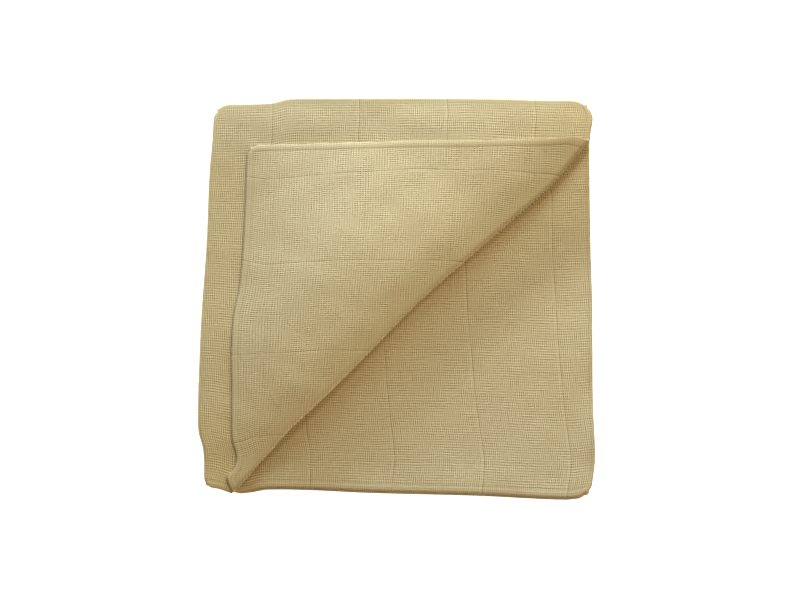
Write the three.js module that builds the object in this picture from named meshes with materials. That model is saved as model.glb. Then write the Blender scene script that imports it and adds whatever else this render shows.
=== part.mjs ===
// Folded muslin cloth: one hemmed square of double gauze, folded in half over its top edge and
// in half again round its left edge, with the free corner of the top layer turned back.
// Lengths are millimetres. X runs across the folded square, Y up it and Z up from the surface
// that it lies on. The origin is under the middle of the folded square.
//
// The cloth is drawn flat first, as a net of triangles on the open square, and each point of the
// net is then carried to its place in the folds. Its two faces lie half a thickness to either
// side of that place, and a narrow wall along the hem joins them.
import * as THREE from "three";

// Driving dimensions
const CLOTH_SIDE = 700;
const THICKNESS = 1.0;
const PITCH = 1.8; // from the middle of one layer to the middle of the next
const TURN_RIGHT_DOWN = 38; // where the turned corner's fold leaves the right edge, below the top
const TURN_BOTTOM_ACROSS = 26; // and where it leaves the bottom edge, from the left
const TURN_INSIDE_RIGHT = 1.4; // how far inside those two edges the fold's line ends
const TURN_INSIDE_BOTTOM = 1;
const TURN_RADIUS = 1.9; // of the bend in the turned corner's fold
const TURN_TAKE_UP = 0.952; // share of the corner's depth that shows, the rest being slack
const TURN_SLIDE = 11; // how far the tip of the corner slid along the fold
const TURN_REST = 1.9; // from the layer below to the turned hems that lie on it

// Derived sizes
const HALF = CLOTH_SIDE / 2;
const TOP_RADIUS = PITCH / 2;
const LEFT_RADIUS = PITCH;
const TOP_BEND = (TOP_RADIUS * Math.PI) / 2; // cloth in a quarter turn of each fold
const LEFT_BEND = (LEFT_RADIUS * Math.PI) / 2;
const TURN_BEND = TURN_RADIUS * Math.PI;
const LEFT_MARGIN = TOP_RADIUS + THICKNESS / 2; // puts the outside of the left fold at 0
const TOP_MARGIN = THICKNESS / 2;
const WIDTH = HALF - LEFT_BEND + LEFT_RADIUS + LEFT_MARGIN;
const HEIGHT = HALF - TOP_BEND + TOP_RADIUS + TOP_MARGIN;
const TOP_LEVEL = 3; // the layers are numbered up from 0, the lowest
const FREE_LEVEL = 2; // from this layer on the stack's long swell lifts them in full
const LOWEST_LEVEL = THICKNESS / 2; // its middle's height
const STACK_MIDDLE = (TOP_LEVEL / 2) * PITCH + LOWEST_LEVEL;

// How far the outline lies inside the straight folded square, along each side
const LEFT_SIDE = [
  { down: 0, inward: 9 },
  { down: 28, inward: 8 },
  { down: 61, inward: 5.2 },
  { down: 130, inward: 2.3 },
  { down: 198, inward: -2.3 },
  { down: 283, inward: -5.3 },
  { down: 300, inward: -4.5 },
  { down: 317, inward: -0.4 },
  { down: 350, inward: 0.4 },
];
const RIGHT_SIDE = [
  { down: 0, inward: 5 },
  { down: 16, inward: 3 },
  { down: 34, inward: 5.5 },
  { down: 128, inward: 4.7 },
  { down: 176, inward: 3.3 },
  { down: 270, inward: 2.4 },
  { down: 317, inward: 0.6 },
  { down: 337, inward: 2.9 },
  { down: 350, inward: 4.4 },
];
const TOP_SIDE = [
  { across: 0, inward: 5 },
  { across: 54, inward: 3.6 },
  { across: 70, inward: 0 },
  { across: 90, inward: -0.6 },
  { across: 264, inward: -0.4 },
  { across: 314, inward: 1.2 },
  { across: 350, inward: 1 },
];
const BOTTOM_SIDE = [
  { across: 0, inward: 4 },
  { across: 13, inward: 2.2 },
  { across: 28, inward: -2.6 },
  { across: 40, inward: -2.6 },
  { across: 52, inward: 0.2 },
  { across: 92, inward: 0.1 },
  { across: 146, inward: -2.4 },
  { across: 248, inward: -5.1 },
  { across: 328, inward: -8.6 },
  { across: 350, inward: -6.4 },
];

// How far each lower layer's hems stop short of the outline: the second layer shows its hem
const HEM_STEPS = [
  { layer: 1, right: 0, bottom: 0 },
  { layer: 2, right: 1.4, bottom: 2.8 },
  { layer: 3, right: 0, bottom: 1.2 },
  { layer: 4, right: 0.9, bottom: 0 },
];

// How far the turned corner's edges lie outside straight ones, from the corner's tip
const TURNED_TOP_EDGE = [
  { along: 0, outward: 0 },
  { along: 73, outward: 0.9 },
  { along: 142, outward: 2 },
  { along: 184, outward: 1.8 },
  { along: 236, outward: 3.9 },
  { along: 278, outward: 5.3 },
  { along: 292, outward: 7.4 },
  { along: 312, outward: 6 },
];
const TURNED_LEFT_EDGE = [
  { along: 0, outward: -1 },
  { along: 80, outward: -1.1 },
  { along: 125, outward: 0.8 },
  { along: 152, outward: 5 },
  { along: 182, outward: 5.3 },
  { along: 230, outward: 1.2 },
  { along: 263, outward: -1.6 },
  { along: 277, outward: -3.4 },
  { along: 288, outward: -0.5 },
  { along: 297, outward: 8.6 },
  { along: 312, outward: 7 },
];

// The turned corner's fold isn't straight: how far it lies beyond the straight line, from its
// right end
const TURN_WAVE = [
  { along: 0, outward: 0 },
  { along: 50, outward: 4.4 },
  { along: 90, outward: 2.4 },
  { along: 152, outward: -1.8 },
  { along: 214, outward: -5 },
  { along: 283, outward: -2.7 },
  { along: 340, outward: -1 },
  { along: 448, outward: 0 },
];

// How much the turned layer climbs above its bend, going back from the fold, and the size of that
// arch, going along the fold from its right end
const TURN_ARCH = [
  { back: 0, climb: 0 },
  { back: 10, climb: 2 },
  { back: 20, climb: 4 },
  { back: 30, climb: 5.7 },
  { back: 45, climb: 7.3 },
  { back: 60, climb: 9.3 },
  { back: 80, climb: 12.1 },
  { back: 107, climb: 14.8 },
  { back: 150, climb: 16.6 },
  { back: 240, climb: 16.6 },
];
const ARCH_SIZE = [
  { along: 0, size: 0.1 },
  { along: 60, size: 0.15 },
  { along: 110, size: 0.3 },
  { along: 160, size: 0.65 },
  { along: 220, size: 1 },
  { along: 340, size: 1 },
  { along: 460, size: 0.8 },
];

// The stack is puffed up along that fold: how much, going out in front of it, and the size of
// that swell, going along it. The lowest layer lies flat, and the second carries half of it.
const LONG_SWELL = [
  { out: -165, rise: 0 },
  { out: -125, rise: 1.2 },
  { out: -90, rise: 3.6 },
  { out: -60, rise: 5.9 },
  { out: -40, rise: 7.1 },
  { out: -20, rise: 7.3 },
  { out: 0, rise: 6.6 },
  { out: 26, rise: 4 },
  { out: 53, rise: 1.3 },
  { out: 72, rise: 0.3 },
  { out: 90, rise: 0 },
];
const LONG_SWELL_SIZE = [
  { along: 0, size: 0.1 },
  { along: 60, size: 0.2 },
  { along: 110, size: 0.5 },
  { along: 170, size: 0.95 },
  { along: 310, size: 1 },
  { along: 370, size: 0.7 },
  { along: 420, size: 0.35 },
  { along: 460, size: 0.15 },
];

// Small slack elsewhere, which lifts the upper layers
const SWELLS = [
  { across: 20, down: 150, reach: 60, rise: 0.8 },
  { across: 14, down: 300, reach: 45, rise: 1.2 },
  { across: 150, down: 22, reach: 80, rise: 0.7 },
  { across: 325, down: 18, reach: 45, rise: 1.1 },
  { across: 300, down: 190, reach: 75, rise: 0.9 },
  { across: 230, down: 310, reach: 70, rise: 0.7 },
];

// The square's corners are rounded: this many millimetres of each side leave the straight line
const CORNERS = [
  { right: false, bottom: false, rounding: 11 },
  { right: true, bottom: false, rounding: 15 },
  { right: false, bottom: true, rounding: 6 },
  { right: true, bottom: true, rounding: 9 },
];
const DRAW_IN = 0.3; // share of that length by which the corner itself moves in
const FOLD_DEPTH = LEFT_RADIUS + LEFT_MARGIN; // of the folds' bends, in from the outline
const EDGE_REACH = 26; // how far in from its edge the turned corner follows its edge's waves
const WAVE_REACH = 60; // how far back the turned corner follows its fold's waves
const ARCH_REACH = 80; // how far in from the turned hems the arch comes up
const SETTLE = 12; // how far back the turned edges begin to follow their own waves
const CLEAR_OF_FOLDS = 40; // from here on, in from the folds, the lower hems stop short

// Where the net's lines lie on a half of the open cloth: close in the bends, then wider
const STATIONS = [0, 0.7, TOP_BEND, 2.1, LEFT_BEND, 12, 24, 36, 50, 68, 89, 111, 134, 157, 180];
STATIONS.push(203, 226, 249, 272, 295, 315, 331, 342, HALF);
const BENDS = STATIONS.filter((s) => s <= LEFT_BEND);
const FAN_ROWS = [0.1, 0.23, 0.35, 0.46, 0.56, 0.65, 0.74, 0.82, 0.9, 0.96];
const FAN_EXTRA_POINTS = 4; // of the fan's rows over the row at the turned corner's fold
const ARCH_ROWS = [7, 18, 34, 54, 80, 110, 142, 174, 198, 211, 217.5];
const ROW_SPACING = 17;
const BEND_STEPS = 6;

// A smooth curve through a table's rows, read at one place
function read(rows, place, value, at) {
  const last = rows.length - 1;
  const x = THREE.MathUtils.clamp(at, rows[0][place], rows[last][place]);
  const i = Math.min(last - 1, rows.findLastIndex((row) => row[place] <= x));
  const slope = (k) => {
    const before = rows[Math.max(0, k - 1)];
    const after = rows[Math.min(last, k + 1)];
    return (after[value] - before[value]) / (after[place] - before[place]);
  };
  const span = rows[i + 1][place] - rows[i][place];
  const t = (x - rows[i][place]) / span;
  const start = (2 * t ** 3 - 3 * t ** 2 + 1) * rows[i][value];
  const end = (3 * t ** 2 - 2 * t ** 3) * rows[i + 1][value];
  const leave = (t ** 3 - 2 * t ** 2 + t) * span * slope(i);
  const arrive = (t ** 3 - t ** 2) * span * slope(i + 1);
  return start + end + leave + arrive;
}

// 1 at the place itself, fading softly to nothing about twice its reach away
const fade = (distance, reach) => Math.exp(-((distance / reach) ** 2));

// The two folds: the first makes a pair of layers, and the second turns the pair round the left
function foldInQuarters(right, down) {
  const tip = THREE.MathUtils.clamp(down / TOP_RADIUS, -Math.PI / 2, Math.PI / 2);
  const run = TOP_RADIUS * (1 - Math.cos(tip)) + Math.max(0, Math.abs(down) - TOP_BEND);
  const reach = LEFT_RADIUS + TOP_RADIUS * Math.sin(tip);
  const turn = THREE.MathUtils.clamp(right / LEFT_RADIUS, -Math.PI / 2, Math.PI / 2);
  const beyond = Math.max(0, Math.abs(right) - LEFT_BEND);
  return {
    across: LEFT_RADIUS - reach * Math.cos(turn) + beyond + LEFT_MARGIN,
    down: run + TOP_MARGIN,
    rise: STACK_MIDDLE + reach * Math.sin(turn),
  };
}

// Each corner of the folded square is drawn in, its folds whole
function roundCorners(at) {
  for (const { right, bottom, rounding } of CORNERS) {
    const fromSide = Math.max(0, (right ? WIDTH - at.across : at.across) - FOLD_DEPTH);
    const fromEnd = Math.max(0, (bottom ? HEIGHT - at.down : at.down) - FOLD_DEPTH);
    const nearSide = Math.max(0, 1 - fromSide / rounding) ** 2;
    const nearEnd = Math.max(0, 1 - fromEnd / rounding) ** 2;
    const pull = DRAW_IN * rounding * nearSide * nearEnd;
    at.across += right ? -pull : pull;
    at.down += bottom ? -pull : pull;
  }
}

// The straight line of the turned corner's fold, from the right edge to the bottom edge
const TURN_START = new THREE.Vector2(WIDTH - TURN_INSIDE_RIGHT, TURN_RIGHT_DOWN);
const TURN_END = new THREE.Vector2(TURN_BOTTOM_ACROSS, HEIGHT - TURN_INSIDE_BOTTOM);
const TURN_ALONG = TURN_END.clone().sub(TURN_START).normalize();
const TURN_OUT = new THREE.Vector2(TURN_ALONG.y, -TURN_ALONG.x);
const TIP_DEPTH = new THREE.Vector2(WIDTH, HEIGHT).sub(TURN_START).dot(TURN_OUT) - TURN_BEND;

// The top layer's corner goes round the bend, over a soft arch and back onto the stack
function turnCorner(at) {
  const from = new THREE.Vector2(at.across, at.down).sub(TURN_START);
  const toRight = WIDTH - at.across;
  const toBottom = HEIGHT - at.down;
  let along = from.dot(TURN_ALONG);
  let out = from.dot(TURN_OUT);
  const past = out + TURN_RADIUS;
  const back = Math.max(0, past - TURN_BEND);
  if (past > 0 && back === 0) {
    out = TURN_RADIUS * (Math.sin(past / TURN_RADIUS) - 1);
    at.rise += TURN_RADIUS * (1 - Math.cos(past / TURN_RADIUS));
  }
  if (back > 0) {
    const fromRight = 1 - Math.exp(-Math.max(0, toRight) / ARCH_REACH);
    const fromBottom = 1 - Math.exp(-Math.max(0, toBottom) / ARCH_REACH);
    const arch = read(TURN_ARCH, "back", "climb", back) * read(ARCH_SIZE, "along", "size", along);
    const settling = (2 * TURN_RADIUS - TURN_REST) * Math.exp(-back / ARCH_REACH);
    at.rise += TURN_REST + settling + arch * fromRight * fromBottom;
    out = -TURN_RADIUS - back * TURN_TAKE_UP;
    along += TURN_SLIDE * (back / TIP_DEPTH);
  }
  out += read(TURN_WAVE, "along", "outward", along) * fade(out, WAVE_REACH);
  at.across = TURN_START.x + along * TURN_ALONG.x + out * TURN_OUT.x;
  at.down = TURN_START.y + along * TURN_ALONG.y + out * TURN_OUT.y;
  if (back > 0) {
    const settled = Math.min(1, back / SETTLE);
    const top = read(TURNED_TOP_EDGE, "along", "outward", toBottom * TURN_TAKE_UP);
    const left = read(TURNED_LEFT_EDGE, "along", "outward", toRight * TURN_TAKE_UP);
    at.down -= top * fade(toRight, EDGE_REACH) * settled;
    at.across -= left * fade(toBottom, EDGE_REACH) * settled;
  }
  return 1 - fade(back, WAVE_REACH);
}

// The stack isn't a true square: its sides follow the outline, and lower hems stop short
function followOutline(at, layer, share) {
  const x = at.across / WIDTH;
  const y = at.down / HEIGHT;
  const steps = HEM_STEPS[layer - 1];
  const clearOfLeft = Math.min(1, Math.max(0, at.across / CLEAR_OF_FOLDS));
  const clearOfTop = Math.min(1, Math.max(0, at.down / CLEAR_OF_FOLDS));
  const left = read(LEFT_SIDE, "down", "inward", at.down) * (1 - x) ** 2;
  const right = read(RIGHT_SIDE, "down", "inward", at.down) * x ** 2;
  const top = read(TOP_SIDE, "across", "inward", at.across) * (1 - y) ** 2;
  const bottom = read(BOTTOM_SIDE, "across", "inward", at.across) * y ** 2;
  at.across += share * (left - right) - steps.right * x ** 2 * clearOfTop;
  at.down += share * (top - bottom) - steps.bottom * y ** 2 * clearOfLeft;
}

// How much the stack is puffed up at a place, along the turned corner's fold
function longSwell(at) {
  const from = new THREE.Vector2(at.across, at.down).sub(TURN_START);
  const size = read(LONG_SWELL_SIZE, "along", "size", from.dot(TURN_ALONG));
  return size * read(LONG_SWELL, "out", "rise", from.dot(TURN_OUT));
}

// A point of the open cloth, given from its centre, in its place in the folds
function place(right, down) {
  const layer = right >= 0 ? (down >= 0 ? 1 : 2) : down < 0 ? 3 : 4;
  const at = foldInQuarters(right, down);
  const level = (at.rise - LOWEST_LEVEL) / PITCH;
  roundCorners(at);
  const turned = layer === 1 ? turnCorner(at) : 0;
  followOutline(at, layer, 1 - turned);
  at.rise += longSwell(at) * THREE.MathUtils.clamp(level / FREE_LEVEL, 0, 1);
  for (const swell of SWELLS) {
    const away = Math.hypot(at.across - swell.across, at.down - swell.down);
    const free = THREE.MathUtils.clamp(level / TOP_LEVEL, 0, 1);
    at.rise += free * swell.rise * fade(away, swell.reach);
  }
  return new THREE.Vector3(at.across, -at.down, at.rise);
}

// The direction across the thickness there
function facing(right, down) {
  const step = 0.05;
  const goRight = place(right + step, down).sub(place(right - step, down));
  const goDown = place(right, down + step).sub(place(right, down - step));
  return goRight.cross(goDown).normalize();
}

// The net on the open cloth: its points, and triangles between rows of them
const points = [];
const known = new Map();
const triangles = [];

function pointAt(right, down) {
  const key = right.toFixed(3) + " " + down.toFixed(3);
  if (!known.has(key)) {
    known.set(key, points.length);
    points.push({ right, down });
  }
  return known.get(key);
}

function addTriangle(a, b, c) {
  const [A, B, C] = [points[a], points[b], points[c]];
  const area = (B.right - A.right) * (C.down - A.down) - (C.right - A.right) * (B.down - A.down);
  triangles.push(area > 0 ? [a, b, c] : [a, c, b]);
}

// Shares of a row's length at which its points lie
function sharesAlong(row) {
  const lengths = [0];
  for (let i = 1; i < row.length; i += 1) {
    const step = Math.hypot(row[i][0] - row[i - 1][0], row[i][1] - row[i - 1][1]);
    lengths.push(lengths[i - 1] + step);
  }
  return lengths.map((length) => length / lengths.at(-1));
}

// Joins two neighbouring rows with triangles, whatever the number of points in each
function stitch(rowA, rowB) {
  const a = rowA.map(([right, down]) => pointAt(right, down));
  const b = rowB.map(([right, down]) => pointAt(right, down));
  const shareA = sharesAlong(rowA);
  const shareB = sharesAlong(rowB);
  let i = 0;
  let j = 0;
  while (i < a.length - 1 || j < b.length - 1) {
    const nextA = i < a.length - 1 ? shareA[i + 1] : Infinity;
    const nextB = j < b.length - 1 ? shareB[j + 1] : Infinity;
    if (nextA <= nextB) {
      addTriangle(a[i], a[i + 1], b[j]);
      i += 1;
    } else {
      addTriangle(a[i], b[j + 1], b[j]);
      j += 1;
    }
  }
}

function stitchAll(rows) {
  rows.slice(1).forEach((row, i) => stitch(rows[i], row));
}

const TINY = 1e-9; // a share of a length too small to matter

// A point at a share of the length of a row
function along(row, share) {
  const shares = sharesAlong(row);
  const i = Math.max(1, shares.findIndex((s) => s >= share - TINY));
  const t = (share - shares[i - 1]) / (shares[i] - shares[i - 1]);
  return [0, 1].map((k) => THREE.MathUtils.lerp(row[i - 1][k], row[i][k], t));
}

// The three quarters under the top one are plain nets of the stations
function plainQuarter(rightSign, downSign) {
  stitchAll(STATIONS.map((down) => STATIONS.map((right) => [rightSign * right, downSign * down])));
}

// A row of the top quarter beside its two folds, at one distance from both
function besideFolds(inset) {
  const beyond = STATIONS.filter((s) => s > inset);
  const up = beyond.toReversed().map((s) => [inset, s]);
  const across = beyond.map((s) => [s, inset]);
  return [...up, [inset, inset], ...across];
}

// A row across the top quarter beside the turned corner's fold, from the bottom hem to the right
function besideTurn(out) {
  const acrossShift = WIDTH - HALF;
  const downShift = HEIGHT - HALF;
  const atRight = TURN_START.y + (out - TURN_OUT.x * (WIDTH - TURN_START.x)) / TURN_OUT.y;
  const atBottom = TURN_START.x + (out - TURN_OUT.y * (HEIGHT - TURN_START.y)) / TURN_OUT.x;
  const start = [atBottom - acrossShift, HALF];
  const end = [HALF, atRight - downShift];
  const count = Math.max(2, Math.round(Math.hypot(HALF - start[0], HALF - end[1]) / ROW_SPACING));
  return Array.from({ length: count + 1 }, (_, i) => along([start, end], i / count));
}

// The top quarter: rows beside the folds, a fan of rows to the turned corner's fold, rows round
// its bend, and rows over the turned corner to its tip
function topQuarter() {
  const folded = BENDS.map(besideFolds);
  const turnStart = besideTurn(-TURN_RADIUS);
  const count = turnStart.length + FAN_EXTRA_POINTS;
  const fan = FAN_ROWS.map((share) =>
    Array.from({ length: count }, (_, i) => {
      const from = along(folded.at(-1), i / (count - 1));
      const to = along(turnStart, i / (count - 1));
      return [0, 1].map((k) => THREE.MathUtils.lerp(from[k], to[k], share));
    }),
  );
  const bend = Array.from({ length: BEND_STEPS }, (_, i) => ((i + 1) / BEND_STEPS) * TURN_BEND);
  const turned = [...bend, ...ARCH_ROWS.map((back) => TURN_BEND + back)];
  stitchAll([...folded, ...fan, turnStart, ...turned.map((past) => besideTurn(past - TURN_RADIUS))]);
}

plainQuarter(1, -1);
plainQuarter(-1, -1);
plainQuarter(-1, 1);
topQuarter();

// The edges that belong to one triangle only run round the hem
function hemEdges() {
  const open = new Map();
  for (const [a, b, c] of triangles) {
    for (const [from, to] of [[a, b], [b, c], [c, a]]) {
      const back = to + " " + from;
      if (open.has(back)) open.delete(back);
      else open.set(from + " " + to, [from, to]);
    }
  }
  return [...open.values()];
}

// The sheet: one face on each side of the net's places, and the wall along the hem
function sheet() {
  const position = [];
  for (const side of [1, -1]) {
    for (const { right, down } of points) {
      const at = place(right, down).addScaledVector(facing(right, down), (side * THICKNESS) / 2);
      position.push(at.x, at.y, at.z);
    }
  }
  const other = points.length;
  const index = [];
  for (const [a, b, c] of triangles) {
    index.push(a, b, c);
    index.push(other + c, other + b, other + a);
  }
  for (const [from, to] of hemEdges()) {
    index.push(to, from, other + from);
    index.push(to, other + from, other + to);
  }
  const geometry = new THREE.BufferGeometry();
  geometry.setAttribute("position", new THREE.Float32BufferAttribute(position, 3));
  geometry.setIndex(index);
  geometry.computeVertexNormals();
  return geometry;
}

const cloth = new THREE.Mesh(
  sheet(),
  new THREE.MeshStandardMaterial({ color: "#bcaa80", roughness: 0.95, metalness: 0 }),
);
cloth.name = "muslin_cloth";

// The folded square's middle goes over the origin, and its lowest face onto the surface
const box = new THREE.Box3().setFromObject(cloth);
const middle = box.getCenter(new THREE.Vector3());
cloth.geometry.translate(-middle.x, -middle.y, -box.min.z);

const foldedCloth = new THREE.Group();
foldedCloth.add(cloth);

export default foldedCloth;
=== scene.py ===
# %% [markdown]
# A folded muslin cloth
# The object is one hemmed square of double gauze muslin. It was folded in half over its top edge,
# then in half again round its left edge, and the free corner of the top layer was turned back.
# A cloth like this could be draped by a simulation, but its folds were made by hand, so here the
# flat square is a grid that is carried into its folds by a few formulas, each fold in its turn.
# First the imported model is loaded. It gives the space that the cloth has to stay in.

# %% Load the frame
import math

import bpy
import numpy as np
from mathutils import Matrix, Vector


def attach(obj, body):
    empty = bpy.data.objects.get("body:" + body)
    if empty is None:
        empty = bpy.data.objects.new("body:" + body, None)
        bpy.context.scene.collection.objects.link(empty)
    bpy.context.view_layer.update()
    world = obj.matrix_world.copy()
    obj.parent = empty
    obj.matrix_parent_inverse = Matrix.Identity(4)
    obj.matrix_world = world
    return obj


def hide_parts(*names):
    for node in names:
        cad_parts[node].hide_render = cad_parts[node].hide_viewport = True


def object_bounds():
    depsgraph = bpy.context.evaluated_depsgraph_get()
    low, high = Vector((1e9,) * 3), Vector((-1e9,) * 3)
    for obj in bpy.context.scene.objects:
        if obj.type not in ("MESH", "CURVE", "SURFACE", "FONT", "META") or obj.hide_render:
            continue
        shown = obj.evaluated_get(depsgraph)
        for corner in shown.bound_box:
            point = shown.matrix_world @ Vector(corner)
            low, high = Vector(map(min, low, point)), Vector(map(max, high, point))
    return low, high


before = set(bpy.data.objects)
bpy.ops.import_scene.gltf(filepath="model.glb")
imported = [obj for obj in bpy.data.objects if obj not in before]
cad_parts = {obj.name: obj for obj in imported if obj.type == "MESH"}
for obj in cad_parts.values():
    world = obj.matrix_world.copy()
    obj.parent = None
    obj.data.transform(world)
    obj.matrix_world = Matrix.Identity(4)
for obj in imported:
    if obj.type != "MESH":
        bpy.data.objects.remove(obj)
cad_low, cad_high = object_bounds()
CLOTH_NODE = "muslin_cloth"
MM = 0.001
print("space for the cloth, mm:", [round((b - a) / MM, 1) for a, b in zip(cad_low, cad_high)])

# %% [markdown]
# The camera
# The photograph looks straight down on the cloth, with little perspective. A long lens high above
# it does the same. The folded square's middle isn't quite in the middle of the picture, so the
# camera stands a few millimetres to the side of it. One pixel shows 0.89 mm of the cloth.

# %% Camera
IMAGE_WIDTH_PX = 800
IMAGE_HEIGHT_PX = 600
CLOTH_MIDDLE_PX = (396.5, 299.15)
MM_PER_PX = 0.89
LENS_MM = 85
SENSOR_MM = 36

bpy.ops.object.select_all(action="DESELECT")
view_width = IMAGE_WIDTH_PX * MM_PER_PX * MM
height = view_width * LENS_MM / SENSOR_MM
aside = (IMAGE_WIDTH_PX / 2 - CLOTH_MIDDLE_PX[0]) * MM_PER_PX * MM
up = (CLOTH_MIDDLE_PX[1] - IMAGE_HEIGHT_PX / 2) * MM_PER_PX * MM
bpy.ops.object.camera_add(location=(aside, up, height + cad_high.z / 2), rotation=(0, 0, 0))
camera = bpy.context.object
camera.name = "view_from_above"
camera.data.lens = LENS_MM
camera.data.sensor_width = SENSOR_MM
bpy.context.scene.camera = camera
print("camera height, m:", round(camera.location.z, 3))

# %% [markdown]
# The sizes of the cloth
# All the folds are worked out in millimetres. Right and down are places on the open square, from
# its centre. Across and down are places in the folded square, from its top left corner. The
# layers lie a little apart, and each fold's bend has a radius that the layers inside it ask for.

# %% Sizes
CLOTH_SIDE = 700.0
HALF = CLOTH_SIDE / 2
PITCH = 1.8  # from the middle of one layer to the middle of the next
THICKNESS = 0.9  # of the double gauze
HEM_THICKNESS = 1.2  # where it is turned in twice and sewn
HEM_WIDTH = 6.0
MARGIN_THICKNESS = 1.0
TOP_RADIUS = PITCH / 2
LEFT_RADIUS = PITCH
TOP_BEND = TOP_RADIUS * math.pi / 2
LEFT_BEND = LEFT_RADIUS * math.pi / 2
LEFT_MARGIN = TOP_RADIUS + MARGIN_THICKNESS / 2
TOP_MARGIN = MARGIN_THICKNESS / 2
WIDTH = HALF - LEFT_BEND + LEFT_RADIUS + LEFT_MARGIN
HEIGHT = HALF - TOP_BEND + TOP_RADIUS + TOP_MARGIN
print("folded square, mm:", round(WIDTH, 1), "x", round(HEIGHT, 1))

# %% [markdown]
# Reading a short table as a smooth curve
# The edges of a cloth wander. Each wandering line is written as a short table of a place and a
# value, and read as a smooth curve through its rows. The same function serves every table.

# %% Helpers for curves
def read(rows, at):
    """A smooth curve through the rows of a table of (place, value), read at many places."""
    place, value = (np.array(column, float) for column in zip(*rows))
    x = np.clip(at, place[0], place[-1])
    i = np.clip(np.searchsorted(place, x, side="right") - 1, 0, len(place) - 2)
    before = np.maximum(0, np.arange(len(place)) - 1)
    after = np.minimum(len(place) - 1, np.arange(len(place)) + 1)
    slope = (value[after] - value[before]) / (place[after] - place[before])
    span = place[i + 1] - place[i]
    t = (x - place[i]) / span
    start = (2 * t**3 - 3 * t**2 + 1) * value[i]
    end = (3 * t**2 - 2 * t**3) * value[i + 1]
    leave = (t**3 - 2 * t**2 + t) * span * slope[i]
    arrive = (t**3 - t**2) * span * slope[i + 1]
    return start + end + leave + arrive


def fade(distance, reach):
    """1 at the place itself, and softly nothing about twice the reach away."""
    return np.exp(-((distance / reach) ** 2))


def ease(t):
    """A soft step from 0 to 1."""
    t = np.clip(t, 0, 1)
    return t * t * (3 - 2 * t)


def unevenness(x, y, wavelength, seed):
    """Soft waves in all directions, mostly between -1 and 1, the same on each run."""
    chance = np.random.default_rng(seed)
    waves = 9
    total = np.zeros(np.shape(x))
    for _ in range(waves):
        angle = chance.uniform(0, 2 * math.pi)
        length = wavelength * chance.uniform(0.7, 1.6)
        phase = chance.uniform(0, 2 * math.pi)
        total += np.sin(2 * math.pi * (x * math.cos(angle) + y * math.sin(angle)) / length + phase)
    return total / math.sqrt(waves)


# %% [markdown]
# The two folds
# Folding in half over the top edge makes a pair of layers with a narrow bend between them.
# Turning the pair round the left edge makes four. The level counts layers from 0, the lowest,
# to 3, the top one, and it passes smoothly between them in the bends, so whatever lifts one layer
# lifts the bend that leads to it as well.

# %% Fold in quarters
MIDDLE_LEVEL = 1.5  # between the lowest level and the top one


def fold_in_quarters(right, down):
    """Places on the open square, carried into the folded one: across, down and level."""
    tip = np.clip(down / TOP_RADIUS, -math.pi / 2, math.pi / 2)
    run = TOP_RADIUS * (1 - np.cos(tip)) + np.maximum(0, np.abs(down) - TOP_BEND)
    reach = LEFT_RADIUS + TOP_RADIUS * np.sin(tip)
    turn = np.clip(right / LEFT_RADIUS, -math.pi / 2, math.pi / 2)
    beyond = np.maximum(0, np.abs(right) - LEFT_BEND)
    across = LEFT_RADIUS - reach * np.cos(turn) + beyond + LEFT_MARGIN
    return across, run + TOP_MARGIN, MIDDLE_LEVEL + reach * np.sin(turn) / PITCH


# (right side, bottom side, how many millimetres of each side leave the straight line)
CORNERS = [(False, False, 13), (True, False, 17), (False, True, 6), (True, True, 9)]
DRAW_IN = 0.25
FOLD_DEPTH = LEFT_RADIUS + LEFT_MARGIN


def round_corners(across, down):
    """Draws each corner of the folded square in, with its folds whole."""
    for right_side, bottom_side, rounding in CORNERS:
        from_side = np.maximum(0, (WIDTH - across if right_side else across) - FOLD_DEPTH)
        from_end = np.maximum(0, (HEIGHT - down if bottom_side else down) - FOLD_DEPTH)
        near = np.maximum(0, 1 - from_side / rounding) * np.maximum(0, 1 - from_end / rounding)
        pull = DRAW_IN * rounding * near**2
        across = across + (-pull if right_side else pull)
        down = down + (-pull if bottom_side else pull)
    return across, down


# %% [markdown]
# The outline
# The stack isn't a true square. These tables say how far each side of the photographed outline
# lies inside the straight one. The second layer's hem stops a little short of the outline at the
# bottom, so that a second hem line shows there.

# %% Outline
# (down, inward) for the left and right sides, (across, inward) for the top and bottom
LEFT_SIDE = [(0, 9), (28, 8), (61, 5.2), (130, 2.3), (198, -2.3), (283, -5.3), (300, -4.5),
             (317, -0.4), (350, 0.4)]
RIGHT_SIDE = [(0, 5), (16, 3), (34, 5.5), (128, 4.7), (176, 3.3), (270, 2.4), (317, 0.6),
              (337, 2.9), (350, 4.4)]
TOP_SIDE = [(0, 5), (54, 3.6), (70, 0), (90, -0.6), (264, -0.4), (314, 1.2), (350, 1)]
BOTTOM_SIDE = [(0, 4), (13, 2.2), (28, -2.6), (40, -2.6), (52, 0.2), (92, 0.1), (146, -2.4),
               (248, -5.1), (328, -8.6), (350, -6.4)]
# layer: (right, bottom) steps of its hems inside the outline
HEM_STEPS = {1: (0, 0), 2: (1.4, 2.8), 3: (0, 1.2), 4: (0.9, 0)}
CLEAR_OF_FOLDS = 40


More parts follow.
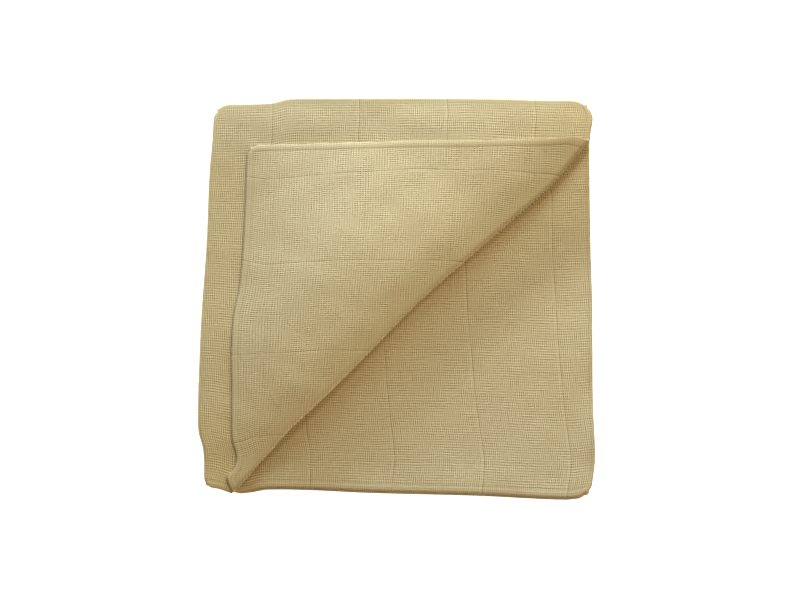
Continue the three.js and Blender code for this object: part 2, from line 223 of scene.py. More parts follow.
def follow_outline(across, down, layer, share):
    """Moves the layers' points so that the stack's sides follow the outline."""
    x = across / WIDTH
    y = down / HEIGHT
    step_right = np.choose(layer - 1, [HEM_STEPS[k][0] for k in (1, 2, 3, 4)])
    step_bottom = np.choose(layer - 1, [HEM_STEPS[k][1] for k in (1, 2, 3, 4)])
    step_right = step_right * x**2 * np.clip(down / CLEAR_OF_FOLDS, 0, 1)
    step_bottom = step_bottom * y**2 * np.clip(across / CLEAR_OF_FOLDS, 0, 1)
    aside = read(LEFT_SIDE, down) * (1 - x) ** 2 - read(RIGHT_SIDE, down) * x**2
    along = read(TOP_SIDE, across) * (1 - y) ** 2 - read(BOTTOM_SIDE, across) * y**2
    return across + share * aside - step_right, down + share * along - step_bottom


# %% [markdown]
# The turned corner
# The top layer's corner is laid back over the stack. Its fold is a soft roll, not a crease: the
# cloth goes round a bend, climbs further back over a broad arch, and comes down to rest on the
# layer below. Where the corner is shallow, at both ends of the fold, the arch is lower too.
# The layers under the fold are puffed up as well, in a swell that runs along it. Together they
# give a part of the broad soft valley of shade, and painted shade in the material gives the rest.
# The fold wanders from a straight line, and so do the hems.

# %% Turned corner
TURN_START = np.array([WIDTH - 1.4, 38.0])
TURN_END = np.array([26.0, HEIGHT - 1.0])
TURN_ALONG = (TURN_END - TURN_START) / np.linalg.norm(TURN_END - TURN_START)
TURN_OUT = np.array([TURN_ALONG[1], -TURN_ALONG[0]])
TURN_RADIUS = 1.9
TURN_TAKE_UP = 0.952
TURN_SLIDE = 11.0
FULL_DEPTH = 120.0  # a shallower corner has a tighter bend
TIGHTEST = 0.4  # share of the radius where the corner has no depth
REST = 1.2  # from the layer below to the turned hems that lie on it
ARCH_REACH = 80.0  # how far in from the turned hems the arch comes up
TIP_DEPTH = float(np.dot(np.array([WIDTH, HEIGHT]) - TURN_START, TURN_OUT)) - TURN_RADIUS * math.pi
EDGE_REACH = 26  # how far in from a turned hem its waves are felt
WAVE_REACH = 60  # and those of the fold
SETTLE = 12  # the turned hems take their waves up over this distance behind the fold

# (out in front of the fold, how much the whole stack is puffed up there)
SWELL = [(-165, 0), (-125, 1.2), (-90, 3.6), (-60, 5.9), (-40, 7.1), (-20, 7.3), (0, 6.6),
         (26, 4), (53, 1.3), (72, 0.3), (90, 0)]
# (along from the fold's right end, size of the swell)
SWELL_SIZE = [(0, 0.1), (60, 0.2), (110, 0.42), (170, 0.9), (310, 1), (370, 0.7), (420, 0.35),
              (460, 0.15)]
# (back from the fold, how much the turned corner climbs above its bend)
ARCH = [(0, 0), (10, 2), (20, 4), (30, 5.7), (45, 7.3), (60, 9.3), (80, 12.1), (107, 14.8),
        (150, 16.6), (240, 16.6)]
# (along from the fold's right end, size of the arch)
ARCH_SIZE = [(0, 0.1), (60, 0.15), (110, 0.3), (160, 0.65), (220, 1), (340, 1), (460, 0.8)]
# (along from the corner's tip, outward)
TURNED_TOP_EDGE = [(0, 0), (73, 0.9), (142, 2), (184, 1.8), (236, 3.9), (278, 5.3), (292, 7.4),
                   (312, 6)]
TURNED_LEFT_EDGE = [(0, -1), (80, -1.1), (125, 0.8), (152, 5), (182, 5.3), (230, 1.2),
                    (263, -1.6), (277, -3.4), (288, -0.5), (297, 8.6), (312, 7)]
# (along from the fold's right end, outward)
TURN_WAVE = [(0, 0), (50, 4.4), (90, 2.4), (152, -1.8), (214, -5), (283, -2.7), (340, -1),
             (448, 0)]


def by_the_turn(across, down):
    """Places seen from the fold: along it, out in front of it, and how deep the corner is there."""
    x = across - TURN_START[0]
    y = down - TURN_START[1]
    along = x * TURN_ALONG[0] + y * TURN_ALONG[1]
    out = x * TURN_OUT[0] + y * TURN_OUT[1]
    foot_x = TURN_START[0] + along * TURN_ALONG[0]
    foot_y = TURN_START[1] + along * TURN_ALONG[1]
    depth = np.minimum((WIDTH - foot_x) / TURN_OUT[0], (HEIGHT - foot_y) / TURN_OUT[1])
    return along, out, depth


def swell(across, down):
    """How much the whole stack is puffed up along the fold, smaller towards both its ends."""
    along, out, _ = by_the_turn(across, down)
    return read(SWELL_SIZE, along) * read(SWELL, out)


def turn_corner(across, down):
    """Turns the top layer's corner: across, down, rise over its layer, and how far back."""
    along, out, depth = by_the_turn(across, down)
    to_right = WIDTH - across
    to_bottom = HEIGHT - down
    radius = TURN_RADIUS * (TIGHTEST + (1 - TIGHTEST) * ease(depth / FULL_DEPTH))
    lean = math.atan((ARCH[1][1] - ARCH[0][1]) / (ARCH[1][0] - ARCH[0][0]))
    bend = radius * (math.pi - lean)
    past = out + radius
    back = np.maximum(0, past - bend)
    in_bend = (past > 0) & (back == 0)
    angle = past / radius
    top = radius * (1 + math.cos(lean))
    held_down = np.maximum(0, 1 - np.exp(-to_right / ARCH_REACH)) * np.maximum(
        0, 1 - np.exp(-to_bottom / ARCH_REACH)
    )
    arch = read(ARCH_SIZE, along) * read(ARCH, back)
    over = REST + (top - REST) * np.exp(-back / ARCH_REACH) + arch * held_down
    rise = np.where(in_bend, radius * (1 - np.cos(angle)), 0.0)
    rise = np.where(back > 0, over, rise)
    run_back = -radius + radius * math.sin(lean) - back * TURN_TAKE_UP
    out = np.where(in_bend, radius * (np.sin(angle) - 1), np.where(back > 0, run_back, out))
    along = along + TURN_SLIDE * back / TIP_DEPTH
    out = out + read(TURN_WAVE, along) * fade(out, WAVE_REACH)
    across = TURN_START[0] + along * TURN_ALONG[0] + out * TURN_OUT[0]
    down = TURN_START[1] + along * TURN_ALONG[1] + out * TURN_OUT[1]
    settled = np.clip(back / SETTLE, 0, 1)
    top_edge = read(TURNED_TOP_EDGE, to_bottom * TURN_TAKE_UP)
    left_edge = read(TURNED_LEFT_EDGE, to_right * TURN_TAKE_UP)
    down = down - top_edge * fade(to_right, EDGE_REACH) * settled
    across = across - left_edge * fade(to_bottom, EDGE_REACH) * settled
    return across, down, rise, back


# %% [markdown]
# Slack
# Soft cloth never lies in even layers. Each layer keeps its own small distance from the one
# below it, more near the folds and the free hems. The lowest layer lies flat on the table. The
# distances add up, so the layers keep their order where they lie flat. In a few small spots, at
# the bottom left corner, along the top fold and by the right hems, the sheet still cuts into itself.

# %% Slack between the layers
LOOSE = 0.4  # mean extra distance between two layers
LOOSE_CHANGE = 0.4  # how much it changes from place to place
FOLD_PUFF = 0.6
OUTER_PUFF = 0.5  # share of the puff between the layers of each pair
HEM_LIFT = 0.4
HEM_CHANGE = 0.8
SMALL_RISE = 0.05
CLOSEST = -0.1  # the least extra distance
FOLD_REACH = 16
HEM_REACH = 18
TOP_FOLD_REACH = 14
BROAD_WAVE = 95
HEM_WAVE = 60
SMALL_WAVE = 30
TURNED_RISE = 0.15  # the turned corner's own unevenness
TURNED_WAVE = 60
TURNED_FULL = 60  # it is whole this far behind the fold


def heights(across, down, level):
    """How high the middle of a layer lies, from its level."""
    total = np.full(np.shape(across), MARGIN_THICKNESS / 2)
    puff = swell(across, down) / 2
    near_fold = fade(across, FOLD_REACH)
    near_hem = fade(WIDTH - across, HEM_REACH) + fade(HEIGHT - down, HEM_REACH)
    for k in range(3):
        broad = unevenness(across, down, BROAD_WAVE, seed=10 + k)
        small = unevenness(across, down, SMALL_WAVE, seed=20 + k)
        by_hem = unevenness(across, down, HEM_WAVE, seed=30 + k)
        extra = LOOSE * (1 + LOOSE_CHANGE * broad) * (1 - fade(down, TOP_FOLD_REACH))
        extra += SMALL_RISE * small
        extra += FOLD_PUFF * near_fold * (1 if k == 1 else OUTER_PUFF)
        extra += HEM_LIFT * near_hem * (1 + HEM_CHANGE * by_hem)
        extra += 0 if k == 2 else puff  # the turned layer and the one it left stay close
        total += np.clip(level - k, 0, 1) * (PITCH + np.maximum(CLOSEST, extra))
    return total


# %% [markdown]
# The whole way into the folds
# One function takes any places on the open square to their places in the folded cloth.

# %% Place the cloth
def place(right, down):
    """Places on the open square, in millimetres, carried into the folds: x, y, z and back."""
    layer = np.where(right >= 0, np.where(down >= 0, 1, 2), np.where(down < 0, 3, 4))
    across, fallen, level = fold_in_quarters(right, down)
    across, fallen = round_corners(across, fallen)
    turned = turn_corner(across, fallen)
    top = layer == 1
    across = np.where(top, turned[0], across)
    fallen = np.where(top, turned[1], fallen)
    rise = np.where(top, turned[2], 0.0)
    back = np.where(top, turned[3], 0.0)
    across, fallen = follow_outline(across, fallen, layer, fade(back, WAVE_REACH))
    z = heights(across, fallen, level) + rise
    own = TURNED_RISE * unevenness(across, fallen, TURNED_WAVE, seed=41)
    z += np.where(back > 0, own * ease(back / TURNED_FULL), 0)
    return across, -fallen, z, back


# %% [markdown]
# The open square as a grid
# A plain grid is added and its lines are moved to where the folds need them: close together in
# the bends and at the hems, a few millimetres apart on the top layer, and wide apart in the two
# layers that only show at their edges.

# %% Grid stations
def spread(rows, last):
    """Stations from (from here, spacing) rows, up to the last one."""
    stations = []
    for (start, spacing), end in zip(rows, [row[0] for row in rows[1:]] + [last]):
        count = max(1, round((end - start) / spacing))
        stations += list(np.linspace(start, end, count, endpoint=False))
    return np.array(stations + [last])


# (from here, spacing); the left fold's bend ends at about 2.83 and the top fold's at about 1.41
HEM_ROWS = [(340, 1.5), (343, 0.5), (345, 1.3), (349, 0.5)]
FINE_RIGHT = spread([(0, 0.354), (2.83, 1.2), (10, 1.9), (40, 2.75)] + HEM_ROWS, HALF)
COARSE_LEFT = spread([(0, 0.354), (2.83, 2.4), (10, 11)] + HEM_ROWS, HALF)
FINE_DOWN = spread([(0, 0.354), (1.41, 1.2), (10, 2.75), (308, 1.9)] + HEM_ROWS, HALF)
LESS_UP = spread([(0, 0.354), (1.41, 2.4), (10, 5)] + HEM_ROWS, HALF)
columns = np.concatenate([-COARSE_LEFT[:0:-1], FINE_RIGHT])
rows = np.concatenate([-LESS_UP[:0:-1], FINE_DOWN])
print("grid:", len(columns), "x", len(rows), "triangles about", 4 * len(columns) * len(rows))

# %% Add the grid and carry it into the folds
bpy.ops.object.select_all(action="DESELECT")
bpy.ops.mesh.primitive_grid_add(
    x_subdivisions=len(columns) - 1, y_subdivisions=len(rows) - 1, size=2, calc_uvs=False
)
cloth = bpy.context.object
cloth.name = "folded_cloth"
mesh = cloth.data
count = len(mesh.vertices)
co = np.zeros(count * 3)
mesh.vertices.foreach_get("co", co)
co = co.reshape(-1, 3)
column = np.rint((co[:, 0] + 1) / 2 * (len(columns) - 1)).astype(int)
row = np.rint((co[:, 1] + 1) / 2 * (len(rows) - 1)).astype(int)
right = columns[column]
down = rows[row]
x, y, z, back = place(right, down)
folded = np.stack([x, y, z], axis=1) * MM
mesh.vertices.foreach_set("co", folded.ravel())
mesh.update()
print("points:", count, "back up to", round(float(back.max()), 1), "mm")

# %% [markdown]
# Woven places
# The yarns follow the cloth, so the pattern needs places on the open square. They go into a UV
# map. A muslin square has thicker window yarns woven in, about 81 mm apart. This cloth was folded
# a little off its grain, so the window yarns lean; the tables give where the four of them run in
# the two layers that show. Everything between them is drawn along with them.

# %% Woven places
WINDOW = 80.8
OUTER_LEFT = 6  # windows drawn beyond the first of the four yarns
OUTER_RIGHT = 2  # and beyond the last one
# (down, four window yarns from the left fold to the right hem) in the top layer
TOP_WINDOWS = [(0, 55.3, 136.3, 217.3, 298), (37, 55.3, 136.3, 217.3, 298),
               (60, 58, 140.3, 222.3, 322), (130, 66, 152, 237, 324), (200, 72, 155, 238, 325),
               (270, 78, 156.5, 240, 322.4), (330, 77, 154.5, 238.2, 318.3),
               (350, 72.6, 154, 243, 321)]
# and in the second layer, by the distance from the top fold
SECOND_WINDOWS = [(0, 55.3, 136.3, 217.3, 298), (85, 75, 150, 229, 315.5),
                  (153, 85, 157, 236, 316.7), (205, 89, 162, 239, 319.5),
                  (252, 93, 165, 243.5, 323.5), (302, 95, 170.5, 249.5, 327.5),
                  (322, 95.7, 171, 251, 330), (350, 95, 169, 251, 329)]


def woven_right(right, down):
    """The place across the window yarns, in windows: whole numbers are window yarns."""
    result = np.zeros(len(right))
    for value in np.unique(down):
        table = np.array(TOP_WINDOWS if value >= 0 else SECOND_WINDOWS, float)
        lines = [np.interp(abs(value), table[:, 0], table[:, k]) for k in range(1, 5)]
        lines = [lines[0] - OUTER_LEFT * WINDOW] + lines + [lines[3] + OUTER_RIGHT * WINDOW]
        here = down == value
        result[here] = np.interp(right[here], lines, [-OUTER_LEFT, 0, 1, 2, 3, 3 + OUTER_RIGHT])
    return result


windows = woven_right(right, down)
uv = np.stack([windows * WINDOW, down], axis=1) * MM
layer_uv = mesh.uv_layers.new(name="weave")
corner_vertex = np.zeros(len(mesh.loops), int)
mesh.loops.foreach_get("vertex_index", corner_vertex)
layer_uv.data.foreach_set("uv", uv[corner_vertex].ravel())
print("windows across:", round(float(windows.min()), 2), "to", round(float(windows.max()), 2))

# %% [markdown]
# Painted shade along the fold
# The cloth looks warmer and dimmer along the fold, where the shade falls. The shape and the lights
# give a part of that shade.
# The rest is painted shade laid into the material: each point has a share of a warm painted shade
# and one of a dim painted shade.
# That was matched to one view and is no property of the cloth, so under other lights these
# two tones are best left out.

# %% Painted shade along the fold
# painted shade: warmer and darker beside the left fold
LEFT_PAINTED_SHADE = 0.4  # beside the left fold, on what isn't turned
LEFT_STRIP = 60
LEFT_FADE = 45
LEFT_FROM = 20
LEFT_FULL = 60
# painted shade at the very edge of the fold, on the turned side
RIM_PAINTED_SHADE = 0.6  # at the very edge of the fold
RIM_WIDTH = 2
# (in front of the fold, how much warm painted shade)
VALLEY_WARM_SHADE = [(-110, 0), (-80, 0.12), (-50, 0.35), (-20, 0.6), (0, 0.75), (20, 0.6), (45, 0.45),
          (80, 0.15), (110, 0)]
# and painted dim shade, most where the corner is narrow (behind or in front of the fold, how dim)
PAINTED_SHADE_BEHIND = [(0, 1), (18, 1), (30, 0.8), (45, 0.5), (60, 0.35), (80, 0.3), (110, 0.15), (140, 0)]
PAINTED_SHADE_IN_FRONT = [(0, 0.5), (10, 0.4), (25, 0.75), (50, 1), (62, 0.7), (80, 0.1), (95, 0)]
# (along from the fold's right end, how much of the painted dim shade there)
BEHIND_SIZE = [(0, 0.9), (60, 0.9), (125, 0.68), (200, 0.28), (300, 0.08), (460, 0.05)]
IN_FRONT_SIZE = [(0, 0.5), (60, 0.55), (125, 0.5), (200, 0.3), (280, 0.1), (460, 0)]
place_along, in_front, _ = by_the_turn(x, -y)
in_front = in_front - read(TURN_WAVE, place_along)
# painted warm shade: along the fold's valley, and beside the left fold on what isn't turned
painted_warm_shade = np.minimum(1, read(VALLEY_WARM_SHADE, in_front) + np.where(
    back > 0, 0,
    LEFT_PAINTED_SHADE * ease((LEFT_STRIP - x) / LEFT_FADE) * ease((-y - LEFT_FROM) / LEFT_FULL)
))
_, before_turn, _ = by_the_turn(*fold_in_quarters(right, down)[:2])
turned_side = (right > 0) & (down > 0) & (before_turn > -TURN_RADIUS)
# painted shade on the turned cloth's bend at the fold's edge
painted_rim_shade = np.where(turned_side, RIM_PAINTED_SHADE * ease((in_front + RIM_WIDTH) / RIM_WIDTH), 0)
painted_dim_shade = np.where(
    turned_side,
    read(PAINTED_SHADE_BEHIND, -in_front) * read(BEHIND_SIZE, place_along),
    np.where(in_front > 0, read(PAINTED_SHADE_IN_FRONT, in_front) * read(IN_FRONT_SIZE, place_along), 0),
)
painted_dim_shade = np.maximum(painted_dim_shade, painted_rim_shade)
print("most warm:", round(float(painted_warm_shade.max()), 2), "most dim:", round(float(painted_dim_shade.max()), 2))

# %% [markdown]
# Hems, bends and sides
# The material also has to know how far a point is from the hem, where the cloth is bent and so
# looks smooth, and which side of it shows. Each of these is a number that every point carries.

# %% Hems, bends and sides
ROLLED = 4.0  # of the second layer's right edge, so its hem hardly shows
ROLLED_OVER = 60
SMOOTH_TOP = 6.5
SMOOTH_LEFT = 3.5
SMOOTH_TURN = 9
SIDE_CHANGE = 20  # the other side shows in full this far behind the fold
FAR_OFF = -100  # for the points that aren't on the second layer

second = (right > 0) & (down < 0)
rolled_under = np.where(second, ROLLED * ease(-down / ROLLED_OVER), 0.0)
from_hem = HALF - np.maximum(np.abs(right) - rolled_under, np.abs(down))
near_folds = np.maximum(fade(down, SMOOTH_TOP), fade(right, SMOOTH_LEFT))
near_turn = np.where((right > 0) & (down > 0) & (back > 0), fade(back, SMOOTH_TURN), 0)
for name, values in (
    ("from_hem", from_hem * MM),
    ("smooth_fold", np.maximum(near_folds, near_turn)),
    # the shares of painted warm shade and painted dim shade, for the material
    ("painted_warm_shade", painted_warm_shade),
    ("painted_dim_shade", painted_dim_shade),
    ("in_front", np.where(second, in_front, FAR_OFF) * MM),
    ("turned", ease(back / SIDE_CHANGE)),
):
    attribute = mesh.attributes.new(name, "FLOAT", "POINT")
    attribute.data.foreach_set("value", values.astype(np.float32))
print("farthest from a hem, mm:", round(float(from_hem.max()), 1))

# %% [markdown]
# The thickness
# Solidify gives the gauze its thickness on both sides of the grid. The hem is turned in twice
# and sewn, so it is thicker, with a thin groove along its stitches and a rounded edge. A vertex
# group tells Solidify how much of the full thickness each point has.

# %% Thickness
GAUZE_SHARE = THICKNESS / HEM_THICKNESS
# (distance from the edge, share of the hem's thickness)
HEM_PROFILE = [(0, 0.3), (0.7, 0.7), (1.8, 1), (4.4, 1), (5.4, 0.85), (6.0, 0.68),
               (6.8, GAUZE_SHARE), (8, GAUZE_SHARE)]
shares = read(HEM_PROFILE, from_hem)
group = cloth.vertex_groups.new(name="thickness")
for share in np.unique(np.round(shares, 3)):
    group.add([int(i) for i in np.nonzero(np.round(shares, 3) == share)[0]], float(share), "REPLACE")
solidify = cloth.modifiers.new("thickness", "SOLIDIFY")
solidify.thickness = HEM_THICKNESS * MM
solidify.offset = 0
solidify.vertex_group = "thickness"
bpy.ops.object.modifier_apply(modifier="thickness")
bpy.ops.object.mode_set(mode="EDIT")
bpy.ops.mesh.select_all(action="SELECT")
bpy.ops.mesh.normals_make_consistent(inside=False)
bpy.ops.object.mode_set(mode="OBJECT")
bpy.ops.object.shade_smooth()
low = np.array([v.co for v in mesh.vertices]).min(axis=0)
high = np.array([v.co for v in mesh.vertices]).max(axis=0)
middle = np.array((cad_low + cad_high) / 2)
shift = np.array([*(middle - (low + high) / 2)[:2], -low[2]])
co = np.array([v.co for v in mesh.vertices]) + shift
mesh.vertices.foreach_set("co", co.ravel())
mesh.update()
triangles = sum(len(p.vertices) - 2 for p in mesh.polygons)
print("cloth triangles:", triangles, "size mm:", [round(float(s) / MM, 1) for s in high - low])

# %% [markdown]
# The muslin
# Double gauze muslin is two thin, loosely woven cotton cloths joined here and there. It is dull
# and soft, with small dark holes between the yarns where the weave is open. This one is a warm
# sand colour. First comes a function for colours and one that adds a node.

# %% Helpers for materials
def linear(code):
    """An sRGB hex colour as linear numbers."""
    parts = [int(code[i : i + 2], 16) / 255 for i in (1, 3, 5)]
    return [p / 12.92 if p <= 0.04045 else ((p + 0.055) / 1.055) ** 2.4 for p in parts] + [1]


def add(tree, kind, inputs=None, **settings):
    """Adds a node, sets it, fills or links its inputs, and gives its first output."""
    node = tree.nodes.new(kind)
    for name, value in settings.items():
        setattr(node, name, value)
    for name, value in (inputs or {}).items():
        if isinstance(value, bpy.types.NodeSocket):
            tree.links.new(value, node.inputs[name])
        else:
            node.inputs[name].default_value = value
    return node.outputs[0]


# %% Muslin
# Drawn about three times coarser than such gauze is taken to be, so that the weave shows
YARNS_ACROSS = 44  # in one window
YARNS_DOWN = 35.4
SPACING_ACROSS = WINDOW / YARNS_ACROSS * MM
SPACING_DOWN = WINDOW / YARNS_DOWN * MM
WAVE_PERIOD = 2 * math.pi / 20  # of Blender's wave texture at a scale of 1
YARN_COLOUR = "#e9dbb6"  # the lit top of a yarn
GAP_COLOUR = "#80714c"  # between the yarns, where the second gauze shows through
YARN_SHARE = 0.6  # the yarns' share of the mean colour
# painted warm shade and painted dim shade, laid over the colour along the fold
PAINTED_WARM_SHADE_TONE = "#f9efd9"  # laid over the colour along the fold
PAINTED_DIM_SHADE_TONE = "#dad3c9"
TURNED_CORNER_PALER = 0.01
HOLE_DARKNESS = -0.25
SHEEN_TINT = "#f1e6c6"

muslin = bpy.data.materials.new("double_gauze_muslin")
muslin.use_nodes = True
tree = muslin.node_tree
shader = tree.nodes["Principled BSDF"]
places = add(tree, "ShaderNodeUVMap", uv_map="weave")
add(tree, "ShaderNodeAttribute", attribute_name="smooth_fold")
smooth = tree.nodes[-1].outputs["Fac"]
add(tree, "ShaderNodeAttribute", attribute_name="from_hem")
hem_distance = tree.nodes[-1].outputs["Fac"]
add(tree, "ShaderNodeAttribute", attribute_name="painted_warm_shade")
painted_warm_share = tree.nodes[-1].outputs["Fac"]
add(tree, "ShaderNodeAttribute", attribute_name="painted_dim_shade")
painted_dim_share = tree.nodes[-1].outputs["Fac"]
add(tree, "ShaderNodeAttribute", attribute_name="in_front")
in_front_of_turn = tree.nodes[-1].outputs["Fac"]
add(tree, "ShaderNodeAttribute", attribute_name="turned")
turned_share = tree.nodes[-1].outputs["Fac"]

# The yarns wander a little from straight lines, in long waves and in short ones
yarn_place = places
for scale, sway in ((14, 0.003), (70, 0.0008)):
    add(tree, "ShaderNodeTexNoise", {"Vector": places, "Scale": scale, "Detail": 1})
    noise = tree.nodes[-1].outputs["Color"]
    noise = add(
        tree, "ShaderNodeVectorMath", {0: noise, 1: (0.5, 0.5, 0.5)}, operation="SUBTRACT"
    )
    yarn_place = add(
        tree, "ShaderNodeVectorMath", {0: noise, 1: (sway, sway, 0), 2: yarn_place},
        operation="MULTIPLY_ADD",
    )

# Each set of yarns swings between light and dark round its mean, so that no blotches come of it.
# The swing is stronger in some patches, and from one yarn to the next.
swings = []
for direction, spacing, slubs, strength, strength_turned, seed in (
    ("X", SPACING_ACROSS, (480, 130, 0), 0.44, 0.50, 3.1),
    ("Y", SPACING_DOWN, (130, 400, 0), 0.40, 0.28, 8.7),
):
    add(
        tree, "ShaderNodeTexWave",
        {"Vector": yarn_place, "Scale": WAVE_PERIOD / spacing, "Distortion": 1.1,
         "Detail": 1, "Detail Scale": 0.5},
        wave_type="BANDS", bands_direction=direction, wave_profile="SIN",
    )
    wave = add(
        tree, "ShaderNodeMapRange",
        {"Value": tree.nodes[-1].outputs["Fac"], "To Min": -1, "To Max": 1},
    )
    slub_place = add(
        tree, "ShaderNodeVectorMath", {0: places, 1: slubs, 2: (seed, seed, 0)},
        operation="MULTIPLY_ADD",
    )
    slub = add(tree, "ShaderNodeTexNoise", {"Vector": slub_place, "Scale": 1, "Detail": 1})
    slub = add(
        tree, "ShaderNodeMapRange",
        {"Value": slub, "From Min": 0.3, "From Max": 0.7, "To Min": 0.3, "To Max": 1.3},
    )
    patch = add(tree, "ShaderNodeTexNoise", {"Vector": places, "Scale": 60 + seed, "Detail": 2})
    patch = add(
        tree, "ShaderNodeMapRange",
        {"Value": patch, "From Min": 0.36, "From Max": 0.6, "To Min": 0.25, "To Max": 1},
    )
    swing = add(tree, "ShaderNodeMath", {0: wave, 1: slub}, operation="MULTIPLY")
    swing = add(tree, "ShaderNodeMath", {0: swing, 1: patch}, operation="MULTIPLY")
    strength = add(
        tree, "ShaderNodeMapRange",
        {"Value": turned_share, "To Min": strength, "To Max": strength_turned},
    )
    swings.append((swing, strength))

swing = add(tree, "ShaderNodeMath", {0: swings[0][0], 1: swings[0][1]}, operation="MULTIPLY")
swing = add(
    tree, "ShaderNodeMath", {0: swings[1][0], 1: swings[1][1], 2: swing},
    operation="MULTIPLY_ADD",
)

# Small dark holes where two gaps cross
crossing = add(tree, "ShaderNodeMath", {0: swings[0][0], 1: swings[1][0]}, operation="MULTIPLY")
swing = add(
    tree, "ShaderNodeMath", {0: crossing, 1: HOLE_DARKNESS, 2: swing}, operation="MULTIPLY_ADD"
)

# Smooth where the cloth is bent or hemmed
in_hem = add(
    tree, "ShaderNodeMapRange",
    {"Value": hem_distance, "From Min": 0.0055, "From Max": 0.0075, "To Min": 0.6, "To Max": 0},
)
smoothness = add(tree, "ShaderNodeMath", {0: in_hem, 1: smooth}, operation="MAXIMUM")
openness = add(
    tree, "ShaderNodeMapRange", {"Value": smoothness, "To Min": 1, "To Max": 0.2}
)
swing = add(tree, "ShaderNodeMath", {0: swing, 1: openness}, operation="MULTIPLY")
# The turned corner, where the cloth's other side shows, is drawn a little paler
paler = add(
    tree, "ShaderNodeMapRange",
    {"Value": turned_share, "To Min": YARN_SHARE, "To Max": YARN_SHARE + TURNED_CORNER_PALER},
)
light = add(tree, "ShaderNodeMath", {0: swing, 1: paler}, operation="ADD")

# The window yarns: a pale thicker yarn with a darker line beside it, weaker here and there
add(tree, "ShaderNodeSeparateXYZ", {"Vector": yarn_place})
woven_x = tree.nodes[-1].outputs["X"]
woven_y = tree.nodes[-1].outputs["Y"]
broken = add(tree, "ShaderNodeTexNoise", {"Vector": places, "Scale": 45, "Detail": 1})
broken = add(
    tree, "ShaderNodeMapRange",
    {"Value": broken, "From Min": 0.35, "From Max": 0.6, "To Min": 0.4, "To Max": 1},
)
for coordinate, beside, strength in (
    (woven_x, 0.0, -0.20), (woven_x, 0.0015, 0.15), (woven_y, 0.0, -0.05),
):
    moved = add(tree, "ShaderNodeMath", {0: coordinate, 1: beside}, operation="ADD")
    distance = add(
        tree, "ShaderNodeMath", {0: moved, 1: WINDOW * MM / 2}, operation="PINGPONG"
    )
    mark = add(
        tree, "ShaderNodeMapRange",
        {"Value": distance, "From Min": 0.0004, "From Max": 0.0012, "To Min": strength,
         "To Max": 0},
    )
    light = add(tree, "ShaderNodeMath", {0: mark, 1: broken, 2: light}, operation="MULTIPLY_ADD")

# The sewn line at the inner edge of the hem
stitch = add(
    tree, "ShaderNodeMath", {0: hem_distance, 1: HEM_WIDTH * MM}, operation="SUBTRACT"
)
stitch = add(tree, "ShaderNodeMath", {0: stitch}, operation="ABSOLUTE")
stitch = add(
    tree, "ShaderNodeMapRange",
    {"Value": stitch, "From Min": 0.0002, "From Max": 0.0009, "To Min": -0.12, "To Max": 0},
)
light = add(tree, "ShaderNodeMath", {0: light, 1: stitch}, operation="ADD")

# Painted shade at the hem's outer edge, where it turns away from the light; it also goes into the
# bump
painted_edge_shade = add(
    tree, "ShaderNodeMapRange",
    {"Value": hem_distance, "From Min": 0.0004, "From Max": 0.0016, "To Min": -0.2, "To Max": 0},
)
light = add(tree, "ShaderNodeMath", {0: light, 1: painted_edge_shade}, operation="ADD", use_clamp=True)

# From the gap's colour to the yarn's
add(
    tree, "ShaderNodeMix", {0: light, 6: linear(GAP_COLOUR), 7: linear(YARN_COLOUR)},
    data_type="RGBA",
)
colour = tree.nodes[-1].outputs[2]

# The painted warm and dim shade along the fold, and the painted shade of the dark crevice under the
# fold's edge
# painted shade: a dark line in the colour just in front of the fold's edge, only on the second layer
painted_crevice_shade = add(
    tree, "ShaderNodeMapRange",
    {"Value": in_front_of_turn, "From Min": 0.0005, "From Max": 0.0055, "To Min": 0.9,
     "To Max": 0},
    interpolation_type="SMOOTHSTEP",
)
uncovered = add(
    tree, "ShaderNodeMath", {0: in_front_of_turn, 1: -0.02}, operation="GREATER_THAN"
)
painted_crevice_shade = add(tree, "ShaderNodeMath", {0: painted_crevice_shade, 1: uncovered}, operation="MULTIPLY")
painted_dim_share = add(tree, "ShaderNodeMath", {0: painted_dim_share, 1: painted_crevice_shade}, operation="MAXIMUM")
for share, tone in ((painted_warm_share, PAINTED_WARM_SHADE_TONE), (painted_dim_share, PAINTED_DIM_SHADE_TONE)):
    add(
        tree, "ShaderNodeMix", {0: share, 6: colour, 7: linear(tone)},
        data_type="RGBA", blend_type="MULTIPLY",
    )
    colour = tree.nodes[-1].outputs[2]
tree.links.new(colour, shader.inputs["Base Color"])
bump = add(tree, "ShaderNodeBump", {"Height": light, "Strength": 0.3, "Distance": 0.0003})
tree.links.new(bump, shader.inputs["Normal"])
shader.inputs["Roughness"].default_value = 0.95
shader.inputs["Specular IOR Level"].default_value = 0.2
shader.inputs["Sheen Weight"].default_value = 0.2
shader.inputs["Sheen Roughness"].default_value = 0.6
shader.inputs["Sheen Tint"].default_value = linear(SHEEN_TINT)
cloth.data.materials.clear()
cloth.data.materials.append(muslin)
print("muslin nodes:", len(tree.nodes))

# %% [markdown]
# Where the cloth belongs
# The cloth takes the place of the plain CAD solid, and rides with it.

# %% Tell the frame
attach(cloth, "root")
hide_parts(CLOTH_NODE)

# %% [markdown]
# Floor and light
# The floor is plain and white, and bright enough to lose the shadow. One very large soft light, a
# little blue, stands on the side of the top fold and not far up. It models the roll of the turned
# corner. A small warm light hangs above the upper right, and a long low one shines from the side
# of the bottom hems. The surroundings are brown, so the shade is warm.

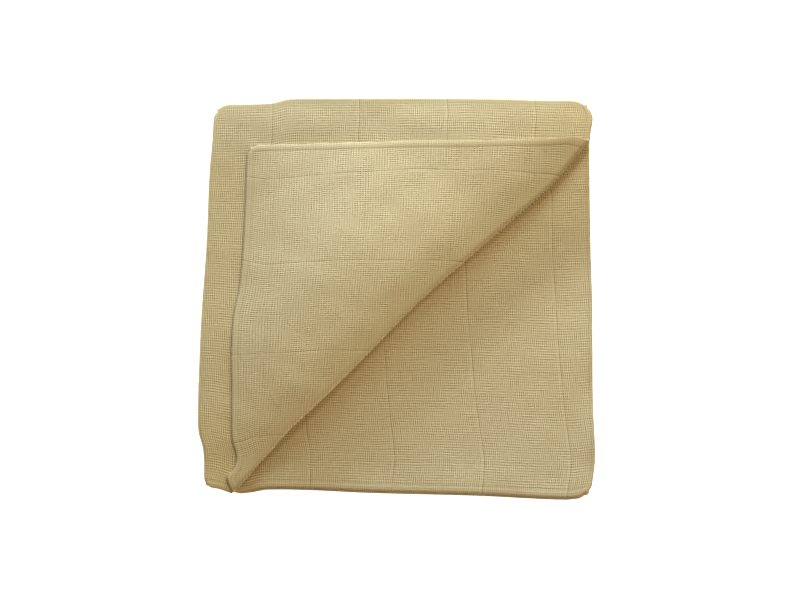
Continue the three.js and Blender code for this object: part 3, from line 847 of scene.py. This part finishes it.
# %% Floor and light
LIGHT_AZIMUTH = math.radians(0)  # from the top of the picture, clockwise
LIGHT_ELEVATION = math.radians(11)
LIGHT_DISTANCE = 3.0
LIGHT_WIDTH = 3.6
LIGHT_HEIGHT = 0.9
LIGHT_WATTS = 237
LIGHT_COLOUR = (0.78, 0.93, 1.0)
SIDE_PLACE = (0.65, 0.45, 1.1)
SIDE_SIZE = 0.5
SIDE_WATTS = 8
SIDE_COLOUR = (1.0, 0.91, 0.73)
FILL_PLACE = (0, -2.4, 0.2)
FILL_WIDTH = 3.0
FILL_HEIGHT = 0.3
FILL_WATTS = 28
FILL_COLOUR = (1.0, 0.97, 0.9)
SURROUNDINGS = (0.19, 0.12, 0.04, 1)
FLOOR_SIDE = 8
FLOOR_GLOW = 0.95

bpy.ops.object.select_all(action="DESELECT")
bpy.ops.mesh.primitive_plane_add(size=FLOOR_SIDE, location=(0, 0, 0))
floor = bpy.context.object
floor.name = "floor"
floor_white = bpy.data.materials.new("matt_white_floor")
floor_white.use_nodes = True
floor_shader = floor_white.node_tree.nodes["Principled BSDF"]
floor_shader.inputs["Base Color"].default_value = linear("#fbfbfa")
floor_shader.inputs["Roughness"].default_value = 0.9
floor_shader.inputs["Specular IOR Level"].default_value = 0.1
floor_shader.inputs["Emission Color"].default_value = (1, 1, 1, 1)
floor_shader.inputs["Emission Strength"].default_value = FLOOR_GLOW
floor.data.materials.append(floor_white)

world = bpy.data.worlds.new("studio")
world.use_nodes = True
world.node_tree.nodes["Background"].inputs["Color"].default_value = SURROUNDINGS
world.node_tree.nodes["Background"].inputs["Strength"].default_value = 1.0
bpy.context.scene.world = world

toward = np.array([
    math.sin(LIGHT_AZIMUTH) * math.cos(LIGHT_ELEVATION),
    math.cos(LIGHT_AZIMUTH) * math.cos(LIGHT_ELEVATION),
    math.sin(LIGHT_ELEVATION),
])
bpy.ops.object.light_add(type="AREA", location=tuple(toward * LIGHT_DISTANCE))
key = bpy.context.object
key.name = "soft_window_light"
key.data.shape = "RECTANGLE"
key.data.size = LIGHT_WIDTH
key.data.size_y = LIGHT_HEIGHT
key.data.energy = LIGHT_WATTS
key.data.color = LIGHT_COLOUR
key.rotation_euler = key.location.to_track_quat("Z", "Y").to_euler()
bpy.ops.object.light_add(type="AREA", location=SIDE_PLACE)
side = bpy.context.object
side.name = "soft_side_light"
side.data.shape = "SQUARE"
side.data.size = SIDE_SIZE
side.data.energy = SIDE_WATTS
side.data.color = SIDE_COLOUR
side.rotation_euler = side.location.to_track_quat("Z", "Y").to_euler()
bpy.ops.object.light_add(type="AREA", location=FILL_PLACE)
fill = bpy.context.object
fill.name = "low_fill_light"
fill.data.shape = "RECTANGLE"
fill.data.size = FILL_WIDTH
fill.data.size_y = FILL_HEIGHT
fill.data.energy = FILL_WATTS
fill.data.color = FILL_COLOUR
fill.rotation_euler = fill.location.to_track_quat("Z", "Y").to_euler()
bpy.context.scene.view_settings.view_transform = "Standard"
for light in (key, side, fill):
    print("light:", light.name, light.data.energy, "W")

# %% Update the view layer
bpy.context.view_layer.update()
